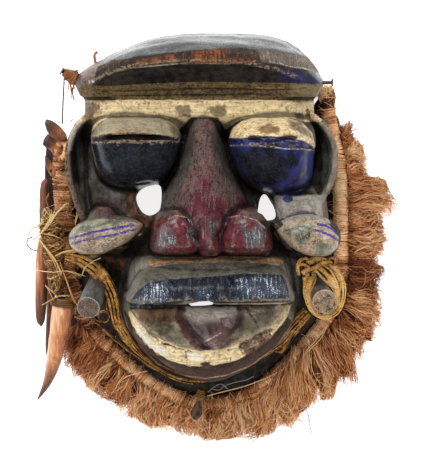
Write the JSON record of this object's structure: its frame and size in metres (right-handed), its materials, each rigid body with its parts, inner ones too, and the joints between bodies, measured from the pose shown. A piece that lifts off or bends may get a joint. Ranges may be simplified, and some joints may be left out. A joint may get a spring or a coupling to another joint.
{
  "type": "carved face mask",
  "caption": "Hollow carved wooden face mask with a visor brow, slit eyes, broad nose, cheek horns, pegs and open jaws, bound with a fibre beard, cloth strip and wooden claws.",
  "frame": {"origin": "under the middle of the whole piece, on the plane of the rim at the open back", "axes": "+X to the right of the face as seen, +Y towards the crown, +Z out of the face"},
  "size_m": [0.3152, 0.3556, 0.122],
  "materials": {
    "carved_wood": "worn paint and dark patina over wood, semi-gloss: blue-black, cream, blue and maroon areas, bare brown edges",
    "peg_wood": "grey-brown patina, darker rough end grain",
    "iron": "dark rusted iron",
    "fibre": "matt plant fibre, red-brown with paler strands",
    "rope": "matt wrapped plant fibre",
    "claw_wood": "smooth bare orange-brown wood, satin",
    "raffia": "matt straw-yellow raffia",
    "cloth": "matt mustard cloth with dark creases",
    "string": "matt dark string",
    "pendant_wood": "smooth dark grey"
  },
  "bodies": {
    "root": {"carved_mask": "carved_wood", "left_peg": "peg_wood", "right_peg": "peg_wood", "left_nail": "iron", "right_nail": "iron", "crown_nail": "iron", "nail_wrap": "fibre", "nail_string": "string", "rim_rope": "rope", "fibre_bunch_01": "fibre", "fibre_bunch_02": "fibre", "fibre_bunch_03": "fibre", "fibre_bunch_04": "fibre", "fibre_bunch_05": "fibre", "fibre_bunch_06": "fibre", "fibre_bunch_07": "fibre", "fibre_bunch_08": "fibre", "fibre_bunch_09": "fibre", "fibre_bunch_10": "fibre", "fibre_bunch_11": "fibre", "fibre_bunch_12": "fibre", "claw_01": "claw_wood", "claw_02": "claw_wood", "claw_03": "claw_wood", "claw_04": "claw_wood", "claw_05": "claw_wood", "claw_06": "claw_wood", "claw_07": "claw_wood", "raffia_tie": "raffia", "cloth_strip": "cloth", "chin_pendant": "pendant_wood"}
  },
  "joints": []
}
